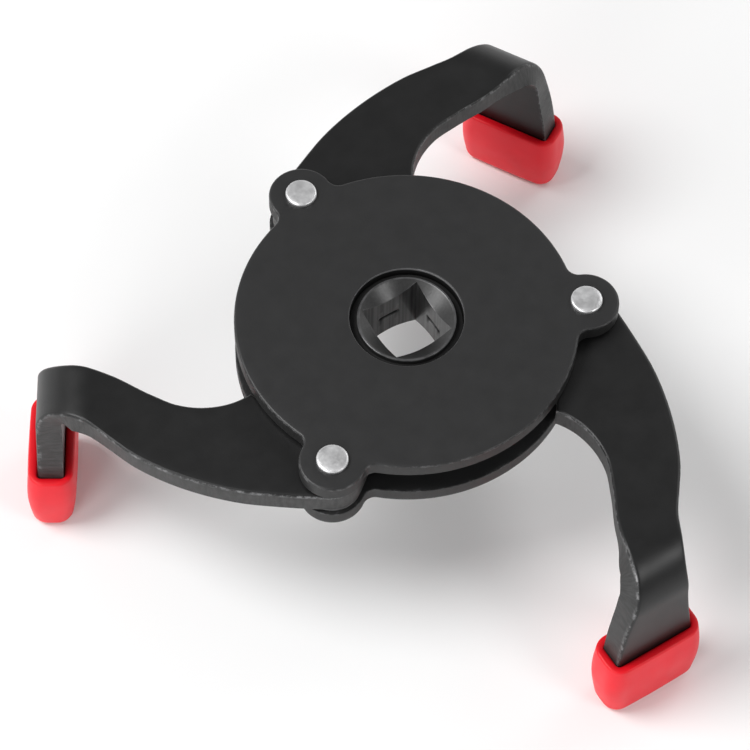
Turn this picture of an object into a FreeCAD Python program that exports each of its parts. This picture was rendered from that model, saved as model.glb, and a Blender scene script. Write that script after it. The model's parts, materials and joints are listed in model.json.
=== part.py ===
import FreeCAD, Part
import math
import os

from FreeCAD import Vector

# Three-jaw oil filter wrench. Millimetres, +Z up.
# The origin is on the drive axis, in the top face of the top plate, where the ratchet enters.
# The first arm's pivot lies on +Y; the other two follow at 120 degree steps.

# ---- driving dimensions ----
ARMS = 3
DISC_RADIUS = 34.5
PIVOT_CIRCLE = 36.25
LOBE_RADIUS = 6.6
LOBE_FILLET = 2.5
PLATE_THICK = 3.4
PLATE_GAP = 6.6
PLATE_EDGE_ROUND = 0.5
PLATE_BORE_RADIUS = 11.5

DRIVE_SQUARE = 13.0
DRIVE_SQUARE_TURN = -4.2
HUB_NECK_RADIUS = 10.0
# The hub's top end is sunk in the top plate and its lower end stands out of the bottom plate.
HUB_SINK = 0.7
HUB_STAND = 2.3
HUB_SHOULDER_SINK = 2.0
HUB_CHAMFER = 0.25
BORE_CLEARANCE = 0.08
COUNTERSINK_RADIUS = 9.5
# The cone's small end is inside the square, so the cone runs out in a scallop on each flat.
COUNTERSINK_SMALL_RADIUS = 6.2
COUNTERSINK_DEPTH = 2.3
DETENT_LENGTH = 5.0
DETENT_HEIGHT = 1.1
DETENT_DEPTH = 0.6

HUB_TEETH = 18
ARM_TEETH = 27
PRESSURE_ANGLE = math.radians(20)
BACKLASH = 0.85
GEAR_SIDE_GAP = 0.2
SECTOR_FIRST_TOOTH = -1
SECTOR_LAST_TOOTH = 4
# The sector's root circle runs on by these angles, in degrees, past its first and last teeth.
SECTOR_TAIL = 3.0
SECTOR_STEP = 2.0

RIVET_SHANK_RADIUS = 2.6
RIVET_SHOULDER_RADIUS = 3.6
RIVET_HEAD_RADIUS = 3.2
RIVET_HEAD_HEIGHT = 1.0
RIVET_HEAD_ROUND = 0.45
SHOULDER_CLEARANCE = 0.06
WASHER_RADIUS = 5.7
WASHER_THICK = 0.7
WASHER_GAP = 0.1

ARM_THICK = 5.0
EYE_RADIUS = 5.9
# Where the eye's round edge runs into the outer sweep, in degrees about the pivot.
EYE_START = 116
# The play in the teeth lets each arm stand at its own small angle about its pivot.
ARM_REST_TURN = (0.0, -1.9, -0.5)
# Turned by this about its pivot, an arm stands midway in its play.
MESH_TURN = -0.9
# Outer and inner sweeps of the flat arm, in plan, from the eye and the last tooth to the bend.
OUTER_SWEEP = ((7.0, 45.6), (14.0, 48.1), (22.0, 49.8), (31.0, 50.5), (37.0, 50.2))
INNER_SWEEP = ((25.0, 31.15), (29.0, 34.15), (34.0, 36.0), (40.0, 36.3))

# The bend that turns the arm down into the jaw has its axis along this direction in plan.
# Distances outward are measured square to it, and distances across along it from JAW_CENTRE.
BEND_AXIS_ANGLE = 116.5
JAW_CENTRE = Vector(60.94, 42.21, 0)
FLAT_END = 60.0
FLAT_END_ACROSS = (-0.15, 14.4)
# Rise of the arm's top face above its root, by distance outward.
CREST = ((40.0, 0.0), (46.0, 0.08), (53.0, 0.33), (FLAT_END, 0.7))
# Half the size of the slab that gives the flat arm its rise, larger than the whole arm.
SLAB_REACH = 80
# Sections on the way to the bend: distance outward, rise, the two edges across, and how far the
# inner face, squeezed by the bending, bulges past each of them.
APPROACH = ((62.5, 1.0, -1.0, 12.4, 0.7, 0.2), (64.9, 1.2, -1.8, 10.7, 1.3, 0.5))
BEND_OUTER_RADIUS = 10.5
BEND_INNER_RADIUS = 3.5
# Sections round the bend: its angle, the two edges across and the two bulges.
BEND = ((18, -2.3, 9.2, 2.3, 0.8), (36, -3.1, 7.9, 2.1, 0.9), (54, -4.0, 7.2, 1.7, 0.8),
        (72, -5.0, 6.95, 1.1, 0.6), (90, -6.0, 7.05, 0.4, 0.3))
# Sections down the jaw: height, then the two edges across.
JAW = ((-20.0, -7.6, 7.6), (-29.0, -8.8, 8.7), (-36.0, -9.0, 8.9), (-44.0, -9.0, 8.9))
JAW_FACE = 75.4
JAW_LEAN = 0.045
JAW_THICK = 5.3

SLEEVE_RIM = -29.0
SLEEVE_BOTTOM = -46.4
SLEEVE_WALL = 2.0
SLEEVE_BULGE = 0.5
SLEEVE_TAPER = 0.3
SLEEVE_CORNER = 3.3
SLEEVE_BOTTOM_ROUND = 2.1
SLEEVE_RIM_ROUND = 0.4

# ---- derived values ----
GEAR_MODULE = 2 * PIVOT_CIRCLE / (HUB_TEETH + ARM_TEETH)
STACK = 2 * PLATE_THICK + PLATE_GAP
GAP_TOP = -PLATE_THICK
GAP_BOTTOM = -PLATE_THICK - PLATE_GAP
ARM_TOP = GAP_TOP - WASHER_THICK - WASHER_GAP
ARM_BOTTOM = ARM_TOP - ARM_THICK
PIVOT = Vector(0, PIVOT_CIRCLE, 0)
# The inner sweep starts this far from the pivot, just past the tips of the sector's teeth.
STEP_RADIUS = GEAR_MODULE * (ARM_TEETH / 2 + 1.4)
BOSS_RADIUS = PLATE_BORE_RADIUS - BORE_CLEARANCE
UP = Vector(0, 0, 1)
BEND_AXIS = Vector(math.cos(math.radians(BEND_AXIS_ANGLE)), math.sin(math.radians(BEND_AXIS_ANGLE)), 0)
OUTWARD = BEND_AXIS.cross(UP)
JAW_CENTRE_OUT = JAW_CENTRE.dot(OUTWARD)
BEND_TOP = ARM_TOP + APPROACH[-1][1]
BEND_CENTRE_HEIGHT = BEND_TOP - BEND_OUTER_RADIUS


# ---- small helpers ----
def polar(radius, degrees, centre=Vector(0, 0, 0)):
    angle = math.radians(degrees)
    return centre + Vector(radius * math.cos(angle), radius * math.sin(angle), 0)


def disc(radius, bottom, top, centre=Vector(0, 0, 0)):
    return Part.makeCylinder(radius, top - bottom, Vector(centre.x, centre.y, bottom))


def ring(outer, inner, bottom, top, centre=Vector(0, 0, 0)):
    return disc(outer, bottom, top, centre).cut(disc(inner, bottom - 1, top + 1, centre))


def spline(points):
    curve = Part.BSplineCurve()
    curve.interpolate(points)
    return curve.toShape()


def line(start, end):
    return Part.LineSegment(start, end).toShape()


def arc(centre, radius, start, end):
    middle = (start + end) / 2
    return Part.Arc(polar(radius, start, centre), polar(radius, middle, centre),
                    polar(radius, end, centre)).toShape()


def prism(edges, bottom, top):
    face = Part.Face(Part.Wire(Part.__sortEdges__(edges)))
    face.translate(Vector(0, 0, bottom))
    return face.extrude(Vector(0, 0, top - bottom))


def turned(shape, degrees, centre=Vector(0, 0, 0)):
    copy = shape.copy()
    copy.rotate(centre, UP, degrees)
    return copy


def around(shape, index):
    return turned(shape, 360.0 * index / ARMS)


def save(shape, name):
    solids = shape.Solids
    if len(solids) != 1 or not shape.isValid():
        print("warning:", name, "has", len(solids), "solids, valid", shape.isValid())
    solids[0].exportStep("parts/" + name + ".step")
    print(name, "volume", round(solids[0].Volume, 1))


# ---- gear teeth ----
def involute(angle):
    return math.tan(angle) - angle


def half_tooth(teeth, radius):
    """Half the tooth's angle in degrees at a radius."""
    pitch_radius = GEAR_MODULE * teeth / 2
    base_radius = pitch_radius * math.cos(PRESSURE_ANGLE)
    width = math.pi * GEAR_MODULE / 2 - BACKLASH / 2
    pressure = math.acos(min(1.0, base_radius / radius))
    return math.degrees(width / (2 * pitch_radius) + involute(PRESSURE_ANGLE) - involute(pressure))


def tooth_edges(teeth, centre, direction):
    """One tooth's two flanks and its tip, with its middle along direction, from root to root."""
    pitch_radius = GEAR_MODULE * teeth / 2
    base_radius = pitch_radius * math.cos(PRESSURE_ANGLE)
    root = pitch_radius - 1.25 * GEAR_MODULE
    tip = pitch_radius + GEAR_MODULE
    start = max(base_radius, root)
    radii = [start + (tip - start) * step / 4 for step in range(5)]
    left = [polar(r, direction - half_tooth(teeth, r), centre) for r in radii]
    right = [polar(r, direction + half_tooth(teeth, r), centre) for r in radii]
    low = direction - half_tooth(teeth, start)
    high = direction + half_tooth(teeth, start)
    return [
        line(polar(root, low, centre), left[0]),
        spline(left),
        arc(centre, tip, direction - half_tooth(teeth, tip), direction + half_tooth(teeth, tip)),
        spline(right),
        line(right[0], polar(root, high, centre)),
    ], low, high, root


def hub_teeth_outline():
    centre = Vector(0, 0, 0)
    pitch = 360.0 / HUB_TEETH
    edges = []
    for tooth in range(HUB_TEETH):
        flanks, low, high, root = tooth_edges(HUB_TEETH, centre, 90 + tooth * pitch)
        edges += flanks
        edges.append(arc(centre, root, high, low + pitch))
    return edges


# ---- plates ----
def plate_blank(bottom, top):
    """Disc with a round lobe at each pivot, its inside corners rounded."""
    body = disc(DISC_RADIUS, bottom, top)
    for index in range(ARMS):
        body = body.fuse(around(disc(LOBE_RADIUS, bottom, top, PIVOT), index))
    body = body.removeSplitter()
    corners = []
    for edge in body.Edges:
        ends = edge.Vertexes
        if len(ends) == 2 and abs(ends[0].Z - ends[1].Z) > 0.5 * (top - bottom):
            corners.append(edge)
    return body.makeFillet(LOBE_FILLET, corners)


def plate(bottom, top, rounded):
    body = plate_blank(bottom, top)
    rim = [edge for edge in body.Edges
           if abs(edge.BoundBox.ZMin - rounded) < 0.01 and abs(edge.BoundBox.ZMax - rounded) < 0.01]
    body = body.makeFillet(PLATE_EDGE_ROUND, rim)
    body = body.cut(disc(PLATE_BORE_RADIUS, bottom - 1, top + 1))
    for index in range(ARMS):
        body = body.cut(around(disc(RIVET_SHANK_RADIUS, bottom - 1, top + 1, PIVOT), index))
    return body


# ---- drive gear ----
def square_prism(side, bottom, top):
    box = Part.makeBox(side, side, top - bottom, Vector(-side / 2, -side / 2, bottom))
    return turned(box, DRIVE_SQUARE_TURN)


def drive_gear():
    top = -HUB_SINK
    bottom = -STACK - HUB_STAND
    gear = prism(hub_teeth_outline(), GAP_BOTTOM + GEAR_SIDE_GAP, GAP_TOP - GEAR_SIDE_GAP)
    body = gear.fuse(disc(BOSS_RADIUS, -STACK + HUB_SHOULDER_SINK, -HUB_SHOULDER_SINK))
    neck = disc(HUB_NECK_RADIUS, bottom, top)
    neck = neck.makeChamfer(HUB_CHAMFER, [edge for edge in neck.Edges if len(edge.Vertexes) == 1])
    body = body.fuse(neck).removeSplitter()
    body = body.cut(square_prism(DRIVE_SQUARE, bottom - 1, top + 1))
    inner = COUNTERSINK_SMALL_RADIUS
    upper = Part.makeCone(inner, COUNTERSINK_RADIUS, COUNTERSINK_DEPTH, Vector(0, 0, top - COUNTERSINK_DEPTH))
    lower = Part.makeCone(COUNTERSINK_RADIUS, inner, COUNTERSINK_DEPTH, Vector(0, 0, bottom))
    body = body.cut(upper).cut(lower)
    reach = DRIVE_SQUARE / 2 + DETENT_DEPTH
    middle = (top + bottom) / 2
    for turn in (0, 90):
        slot = Part.makeBox(2 * reach, DETENT_LENGTH, DETENT_HEIGHT,
                            Vector(-reach, -DETENT_LENGTH / 2, middle - DETENT_HEIGHT / 2))
        body = body.cut(turned(slot, DRIVE_SQUARE_TURN + turn))
    return body


# ---- pivot hardware ----
def pivot_rivet():
    body = disc(RIVET_SHOULDER_RADIUS, GAP_BOTTOM, GAP_TOP, PIVOT)
    body = body.fuse(disc(RIVET_SHANK_RADIUS, -STACK, 0, PIVOT))
    for base, top in ((0, RIVET_HEAD_HEIGHT), (-STACK - RIVET_HEAD_HEIGHT, -STACK)):
        head = disc(RIVET_HEAD_RADIUS, base, top, PIVOT)
        outer = RIVET_HEAD_HEIGHT if base == 0 else base
        rim = [edge for edge in head.Edges
               if len(edge.Vertexes) == 1 and abs(edge.BoundBox.ZMax - outer) < 0.01]
        body = body.fuse(head.makeFillet(RIVET_HEAD_ROUND, rim))
    return body.removeSplitter()


def washer(bottom, top):
    return ring(WASHER_RADIUS, RIVET_SHOULDER_RADIUS, bottom, top, PIVOT)


# ---- arm ----
def bend_point(out, across, height):
    """The point at a distance outward, a distance along the bend axis and a height."""
    return JAW_CENTRE + OUTWARD * (out - JAW_CENTRE_OUT) + BEND_AXIS * across + UP * height


def arm_outline():
    """Plan of the flat arm: toothed sector, inner sweep, end, outer sweep and round eye."""
    pitch = 360.0 / ARM_TEETH
    edges = []
    before = None
    for tooth in range(SECTOR_FIRST_TOOTH, SECTOR_LAST_TOOTH + 1):
        flanks, low, high, root = tooth_edges(ARM_TEETH, PIVOT, -90 - MESH_TURN + (tooth + 0.5) * pitch)
        if before is None:
            tail_angle = low - SECTOR_TAIL
            before = tail_angle
        edges.append(arc(PIVOT, root, before, low))
        edges += flanks
        before = high
    step_angle = before + SECTOR_STEP
    edges.append(arc(PIVOT, root, before, step_angle))
    inner_start = polar(STEP_RADIUS, step_angle + SECTOR_STEP, PIVOT)
    edges.append(line(polar(root, step_angle, PIVOT), inner_start))
    flat_inner = bend_point(FLAT_END, FLAT_END_ACROSS[0], 0)
    flat_outer = bend_point(FLAT_END, FLAT_END_ACROSS[1], 0)
    edges.append(spline([inner_start] + [Vector(x, y, 0) for x, y in INNER_SWEEP] + [flat_inner]))
    edges.append(line(flat_inner, flat_outer))
    outer_start = polar(EYE_RADIUS, EYE_START, PIVOT)
    edges.append(spline([outer_start] + [Vector(x, y, 0) for x, y in OUTER_SWEEP] + [flat_outer]))
    eye_end = tail_angle - math.degrees(math.acos(EYE_RADIUS / root)) + 360
    edges.append(arc(PIVOT, EYE_RADIUS, EYE_START, eye_end))
    edges.append(line(polar(EYE_RADIUS, eye_end, PIVOT), polar(root, tail_angle, PIVOT)))
    return edges


def crest_slab():
    """The flat arm's side view, extruded well past both of its edges."""
    top = [bend_point(out, -SLAB_REACH, ARM_TOP + rise) for out, rise in CREST]
    bottom = [point - UP * ARM_THICK for point in top]
    start = bend_point(-SLAB_REACH, -SLAB_REACH, ARM_TOP)
    edges = [
        line(start, top[0]),
        spline(top),
        line(top[-1], bottom[-1]),
        spline(bottom[::-1]),
        line(bottom[0], start - UP * ARM_THICK),
        line(start - UP * ARM_THICK, start),
    ]
    return Part.Face(Part.Wire(Part.__sortEdges__(edges))).extrude(BEND_AXIS * 2 * SLAB_REACH)


def arm_section(outer, inner, across, bulges=(0, 0)):
    """Four-cornered section from its outer-face and inner-face points, each (outward, height)."""
    low, high = across
    corners = [bend_point(outer[0], low, outer[1]),
               bend_point(outer[0], high, outer[1]),
               bend_point(inner[0], high + bulges[1], inner[1]),
               bend_point(inner[0], low - bulges[0], inner[1])]
    return Part.makePolygon(corners + corners[:1])


def jaw_face(height):
    """The jaw's outer face leans slightly outward on its way down."""
    return JAW_FACE + JAW_LEAN * max(0.0, BEND_CENTRE_HEIGHT - height)


def bent_end():
    """Loft from the end of the flat arm, over the bend and down the jaw."""
    sections = []
    flat_top = ARM_TOP + CREST[-1][1]
    sections.append(arm_section((FLAT_END, flat_top), (FLAT_END, flat_top - ARM_THICK), FLAT_END_ACROSS))
    for out, rise, low, high, low_bulge, high_bulge in APPROACH:
        top = ARM_TOP + rise
        sections.append(arm_section((out, top), (out, top - ARM_THICK), (low, high), (low_bulge, high_bulge)))
    inner_out = JAW_FACE - JAW_THICK - BEND_INNER_RADIUS
    inner_height = BEND_TOP - ARM_THICK - BEND_INNER_RADIUS
    for degrees, low, high, low_bulge, high_bulge in BEND:
        sine = math.sin(math.radians(degrees))
        cosine = math.cos(math.radians(degrees))
        outer = (JAW_FACE - BEND_OUTER_RADIUS * (1 - sine), BEND_CENTRE_HEIGHT + BEND_OUTER_RADIUS * cosine)
        inner = (inner_out + BEND_INNER_RADIUS * sine, inner_height + BEND_INNER_RADIUS * cosine)
        sections.append(arm_section(outer, inner, (low, high), (low_bulge, high_bulge)))
    for height, low, high in JAW:
        face = jaw_face(height)
        sections.append(arm_section((face, height), (face - JAW_THICK, height), (low, high)))
    return Part.makeLoft(sections, True, False)


def arm():
    flat = prism(arm_outline(), ARM_BOTTOM - 2, ARM_TOP + 4).common(crest_slab())
    body = flat.fuse(bent_end()).removeSplitter()
    bore = RIVET_SHOULDER_RADIUS + SHOULDER_CLEARANCE
    return body.cut(disc(bore, ARM_BOTTOM - 1, ARM_TOP + 1, PIVOT))


# ---- jaw sleeve ----
def sleeve_outline(height, swell):
    """Rounded rectangle round the jaw at one height, a sleeve wall and a swell outside it."""
    face = jaw_face(height)
    low, high = sleeve_edges(height)
    wall = SLEEVE_WALL + swell
    outs = (face - JAW_THICK - wall, face + wall)
    across = (low - wall, high + wall)
    corner = SLEEVE_CORNER
    centres = ((outs[1] - corner, across[1] - corner, 0), (outs[0] + corner, across[1] - corner, 90),
               (outs[0] + corner, across[0] + corner, 180), (outs[1] - corner, across[0] + corner, 270))
    points = []
    edges = []
    for out, along, start in centres:
        trio = []
        for angle in (start, start + 45, start + 90):
            offset = polar(corner, angle)
            trio.append(bend_point(out + offset.x, along + offset.y, height))
        edges.append(Part.Arc(*trio).toShape())
        points += [trio[0], trio[2]]
    for index in range(4):
        edges.append(line(points[2 * index + 1], points[(2 * index + 2) % 8]))
    return Part.Wire(Part.__sortEdges__(edges))


def sleeve_edges(height):
    """The jaw's two edges across, at a height below the rim."""
    rim = JAW[1]
    foot = JAW[-1]
    share = (height - rim[0]) / (foot[0] - rim[0])
    return tuple(rim[side] + share * (foot[side] - rim[side]) for side in (1, 2))


def jaw_sleeve(arm_body):
    middle = (SLEEVE_RIM + SLEEVE_BOTTOM) / 2
    outlines = [sleeve_outline(SLEEVE_RIM, 0), sleeve_outline(middle, SLEEVE_BULGE),
                sleeve_outline(SLEEVE_BOTTOM, -SLEEVE_TAPER)]
    body = Part.makeLoft(outlines, True, False)
    foot = [edge for edge in body.Edges if edge.BoundBox.ZMax < SLEEVE_BOTTOM + 0.01]
    body = body.makeFillet(SLEEVE_BOTTOM_ROUND, foot)
    rim = [edge for edge in body.Edges if edge.BoundBox.ZMin > SLEEVE_RIM - 0.01]
    body = body.makeFillet(SLEEVE_RIM_ROUND, rim)
    return body.cut(arm_body)


def main():
    os.makedirs("parts", exist_ok=True)
    save(plate(-PLATE_THICK, 0, 0), "top_plate")
    save(plate(-STACK, -STACK + PLATE_THICK, -STACK), "bottom_plate")
    save(drive_gear(), "drive_gear")
    rivet = pivot_rivet()
    upper = washer(GAP_TOP - WASHER_THICK, GAP_TOP)
    lower = washer(GAP_BOTTOM, GAP_BOTTOM + WASHER_THICK)
    arm_body = arm()
    sleeve = jaw_sleeve(arm_body)
    for index in range(ARMS):
        number = "_" + str(index + 1)
        save(around(rivet, index), "pivot_rivet" + number)
        save(around(upper, index), "upper_washer" + number)
        save(around(lower, index), "lower_washer" + number)
        turn = ARM_REST_TURN[index]
        save(around(turned(arm_body, turn, PIVOT), index), "arm" + number)
        save(around(turned(sleeve, turn, PIVOT), index), "jaw_sleeve" + number)


main()
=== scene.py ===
import json
import math

import bpy
import numpy as np
from mathutils import Matrix, Vector
from mathutils.geometry import delaunay_2d_cdt


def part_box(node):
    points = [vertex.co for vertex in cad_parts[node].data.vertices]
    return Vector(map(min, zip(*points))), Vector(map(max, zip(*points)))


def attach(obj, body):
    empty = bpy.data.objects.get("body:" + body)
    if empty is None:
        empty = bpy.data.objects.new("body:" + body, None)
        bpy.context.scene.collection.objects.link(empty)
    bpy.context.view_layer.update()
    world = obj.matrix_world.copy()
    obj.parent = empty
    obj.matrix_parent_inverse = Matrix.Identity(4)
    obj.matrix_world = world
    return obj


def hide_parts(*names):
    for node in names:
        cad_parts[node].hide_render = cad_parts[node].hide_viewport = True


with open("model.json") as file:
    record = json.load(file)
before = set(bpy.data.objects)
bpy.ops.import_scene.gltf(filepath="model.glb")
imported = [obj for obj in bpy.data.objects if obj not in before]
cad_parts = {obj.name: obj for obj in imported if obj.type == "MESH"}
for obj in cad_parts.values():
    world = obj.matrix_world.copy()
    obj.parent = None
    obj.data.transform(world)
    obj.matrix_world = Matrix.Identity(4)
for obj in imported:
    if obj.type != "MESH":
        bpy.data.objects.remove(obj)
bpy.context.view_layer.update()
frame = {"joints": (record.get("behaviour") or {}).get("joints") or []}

# Three-jaw oil filter wrench. Shapes are worked out in millimetres and made in metres.
MM = 0.001
UP = Vector((0, 0, 1))
ORIGIN = (0.0, 0.0)

# ---- places, from the frame ----
TOP_PLATE_LOW, TOP_PLATE_HIGH = (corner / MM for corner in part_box("top_plate"))
BOTTOM_PLATE_LOW, BOTTOM_PLATE_HIGH = (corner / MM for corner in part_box("bottom_plate"))
RIVET_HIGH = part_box("pivot_rivet_1")[1] / MM
GEAR_LOW, GEAR_HIGH = (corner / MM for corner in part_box("drive_gear"))
GEAR_MIDDLE = (GEAR_HIGH.z + GEAR_LOW.z) / 2
PIVOTS = [Vector(joint["pos_m"]) / MM for joint in frame["joints"] if joint["name"].startswith("arm")]
ARMS = len(PIVOTS)
FIRST_PIVOT = PIVOTS[0]
PIVOT_CIRCLE = FIRST_PIVOT.length
STACK_MIDDLE = (TOP_PLATE_HIGH.z + BOTTOM_PLATE_LOW.z) / 2
FLOOR_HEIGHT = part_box("jaw_sleeve_1")[0].z / MM

# ---- driving dimensions of the shapes ----
DISC_RADIUS = 34.5
LOBE_RADIUS = 6.6
LOBE_FILLET = 2.5
PLATE_BORE_RADIUS = 11.5
# A rolled edge's reach inward and down, and the shares of it that smaller edges have.
PLATE_ROLL = (0.5, 0.4)
BORE_ROLL_SHARE = 0.55
RIVET_HOLE_ROLL_SHARE = 0.2
SHEAR_BREAK = (0.12, 0.12)
# A stamped edge's rolled quarter round is made in this many steps, and the side below it has rows at
# these shares of its height.
ROLL_STEPS = 5
SIDE_SHARES = (0.3, 0.5, 0.7, 0.85)
# Spacing of the points inside the flat faces and along smooth outlines.
PLATE_SPACING = 1.5
ARM_SPACING = 1.1
CURVE_SPACING = 0.7
# Angle between faces, in degrees, past which an edge is drawn sharp.
SHARP_ANGLE = 38
HUB_SHARP_ANGLE = 28
SLEEVE_SHARP_ANGLE = 60

DRIVE_SQUARE = 13.0
DRIVE_SQUARE_TURN = -4.2
HUB_NECK_RADIUS = 10.0
HUB_RIM_RADIUS = 9.5
HUB_RIM_DROP = 0.04
COUNTERSINK_SLOPE = 2.3 / 3.3
BOSS_RADIUS = 11.42
BOSS_SINK = 2.0
GEAR_HALF_WIDTH = 3.1
GEAR_ROLL = (0.18, 0.18)
# The ring of teeth starts this far inside the boss's skin.
GEAR_OVERLAP = 0.4
DETENT_HALF_LENGTH = 2.5
DETENT_HALF_HEIGHT = 0.55
DETENT_DEPTH = 0.6

HUB_TEETH = 18
ARM_TEETH = 27
PRESSURE_ANGLE = math.radians(20)
BACKLASH = 0.85
# Depth of a tooth below the pitch circle, and height of the step after the last one, in modules.
DEDENDUM = 1.25
STEP_HEIGHT = 1.4
GEAR_MODULE = 2 * PIVOT_CIRCLE / (HUB_TEETH + ARM_TEETH)
SECTOR_TEETH = range(-1, 5)
# Degrees of root circle before the first tooth and after the last, where the edge steps out.
SECTOR_TAIL = 3.0
SECTOR_STEP = 2.0
# Turned by this about its pivot, in degrees, an arm stands midway in its play.
MESH_TURN = -0.9

RIVET_SHANK_RADIUS = 2.6
RIVET_SHOULDER_RADIUS = 3.6
RIVET_HEAD_RADIUS = 3.2
RIVET_HEAD_ROUND = 0.45
RIVET_HEAD_ROUND_END = 78
RIVET_HEAD_STEPS = 5
# How far the crown stands above the round, and how far the head is undercut where it meets the plate.
RIVET_CROWN = 0.05
RIVET_UNDERCUT = 0.1
LATHE_SEGMENTS = 96
WASHER_RADIUS = 5.7
WASHER_THICK = 0.7
WASHER_EDGE = 0.12

ARM_TOP = -4.2
ARM_THICK = 5.0
ARM_BORE_RADIUS = 3.66
ARM_BORE_ROLL_SHARE = 0.3
EYE_RADIUS = 5.9
EYE_START = 116
# The play in the teeth lets each arm stand at its own small angle about its pivot, in degrees.
ARM_REST_TURN = (0.0, -1.9, -0.5)
ARM_ROLL = (0.6, 0.45)
TOOTH_ROLL_SHARE = 0.25
EYE_ROLL_SHARE = 0.6
# Past this run along the blank the jaw is inside its sleeve, and its edges are hardly rolled.
COVERED_RUN = 99.0
COVERED_ROLL_SHARE = 0.2
# Plan of the flat arm, from the last tooth outward and from the bend back to the eye.
INNER_SWEEP = ((25.0, 31.15), (29.0, 34.15), (34.0, 36.0), (40.0, 36.3))
OUTER_SWEEP = ((37.0, 50.2), (31.0, 50.5), (22.0, 49.8), (14.0, 48.1), (7.0, 45.6))
# The blank's two edges past the flat: run along its length, then across the bend axis.
INNER_EDGE = ((60.0, -0.15), (64.9, -1.8), (71.5, -3.1), (78.1, -5.0), (87.9, -7.6), (96.9, -8.8),
              (111.9, -9.0))
OUTER_EDGE = ((111.9, 8.9), (96.9, 8.7), (87.9, 7.6), (81.4, 7.05), (74.8, 7.2), (68.2, 9.2),
              (64.9, 10.7), (60.0, 14.4))

BEND_AXIS_ANGLE = math.radians(116.5)
BEND_AXIS = Vector((math.cos(BEND_AXIS_ANGLE), math.sin(BEND_AXIS_ANGLE), 0))
OUTWARD = BEND_AXIS.cross(UP)
JAW_CENTRE = Vector((60.94, 42.21, 0))
JAW_CENTRE_OUT = JAW_CENTRE.dot(OUTWARD)
CREST_START = 40.0
CREST_SLOPE = 0.133
BEND_OUT = 64.9
BEND_TOP = -3.0
BEND_OUTER_RADIUS = 10.5
BEND_INNER_RADIUS = 3.5
JAW_FACE = BEND_OUT + BEND_OUTER_RADIUS
# The jaw leans out by this for every millimetre down.
JAW_LEAN = 0.045
JAW_THICK = 5.3

SLEEVE_RIM = -29.0
SLEEVE_WALL = 2.0
SLEEVE_BULGE = 0.5
SLEEVE_TAPER = 0.3
SLEEVE_CORNER = 3.3
SLEEVE_BOTTOM_ROUND = 2.1
# How far a side bows out, as a share of its length.
SLEEVE_BOW = 0.008
# The wall's swell ends this far below the rim.
SLEEVE_LIP = 0.7
SLEEVE_FOOT_STEPS = 7
SLEEVE_WALL_STEPS = 9
SLEEVE_CORNER_STEPS = 8
SLEEVE_SIDE_STEPS = 8

# ---- finishes, camera and floor ----
# Nearly all of a noise texture's values lie between these.
NOISE_SPAN = (0.3, 0.7)
# Scale of the torn streaks through a blank's thickness, over their scale along its edge.
STREAK_STRETCH = 0.22
VINYL_DARK = (0.75, 0.01, 0.022, 1)
VINYL_LIGHT = (0.83, 0.014, 0.028, 1)
# The sleeve's rim and pocket take this deeper red as painted shade.
VINYL_RIM_SHADE = (0.7, 0.004, 0.012, 1)
FLOOR_HALF_WIDTH = 3000.0
# Camera: angles in degrees, aim and distance in metres, lens and sensor in millimetres.
CAMERA_AZIMUTH = 37.21
CAMERA_ELEVATION = 58.75
CAMERA_ROLL = 1.17
CAMERA_AIM = Vector((-0.0132, -0.0073, 0))
CAMERA_DISTANCE = 0.6565
CAMERA_LENS = 159.6
CAMERA_SENSOR = 36


# ---- plane outlines ----
def polar(radius, degrees, centre=ORIGIN):
    angle = math.radians(degrees)
    return (centre[0] + radius * math.cos(angle), centre[1] + radius * math.sin(angle))


def arc(radius, start, end, centre=ORIGIN, spacing=0.6):
    """Points along an arc, without its end point."""
    count = max(4, math.ceil(abs(math.radians(end - start)) * radius / spacing))
    return [polar(radius, start + (end - start) * step / count, centre) for step in range(count)]


def curve(points):
    """Points along a smooth curve through all the given points, without its end point."""
    nodes = [Vector(point) for point in points]
    chords = [(b - a).length for a, b in zip(nodes, nodes[1:])]
    slopes = [(b - a) / chord for a, b, chord in zip(nodes, nodes[1:], chords)]
    tangents = [None] * len(nodes)
    for i in range(1, len(nodes) - 1):
        before, after = chords[i - 1], chords[i]
        tangents[i] = (slopes[i - 1] * after + slopes[i] * before) / (before + after)
    tangents[0] = 2 * slopes[0] - tangents[1]
    tangents[-1] = 2 * slopes[-1] - tangents[-2]
    made = []
    for i, chord in enumerate(chords):
        count = max(1, round(chord / CURVE_SPACING))
        for step in range(count):
            t = step / count
            made.append(tuple((2 * t ** 3 - 3 * t ** 2 + 1) * nodes[i]
                              + (t ** 3 - 2 * t ** 2 + t) * chord * tangents[i]
                              + (3 * t ** 2 - 2 * t ** 3) * nodes[i + 1]
                              + (t ** 3 - t ** 2) * chord * tangents[i + 1]))
    return made


def shared(points, share):
    """The same points, each with its share of the rolled edge's full size."""
    return [(x, y, share) for x, y in points]


def plate_outline():
    """Disc with a lobe at each pivot, anticlockwise, its inside corners rounded."""
    to_fillet = DISC_RADIUS + LOBE_FILLET
    lobe_to_fillet = LOBE_RADIUS + LOBE_FILLET
    spread = math.degrees(math.acos((to_fillet ** 2 + PIVOT_CIRCLE ** 2 - lobe_to_fillet ** 2)
                                    / (2 * to_fillet * PIVOT_CIRCLE)))
    points = []
    for pivot in PIVOTS:
        direction = math.degrees(math.atan2(pivot.y, pivot.x))
        before = polar(to_fillet, direction - spread)
        after = polar(to_fillet, direction + spread)
        lean = math.degrees(math.atan2(before[1] - pivot.y, before[0] - pivot.x)) - direction
        lean = (lean + 360) % 360 - 360
        points += arc(LOBE_FILLET, direction - spread + 180, direction + lean + 180, before,
                      spacing=0.35)
        points += arc(LOBE_RADIUS, direction + lean, direction - lean, tuple(pivot.xy), spacing=0.5)
        points += arc(LOBE_FILLET, direction - lean - 180, direction + spread - 180, after,
                      spacing=0.35)
        points += arc(DISC_RADIUS, direction + spread, direction + 360 / ARMS - spread, spacing=0.9)
    return points


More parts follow.
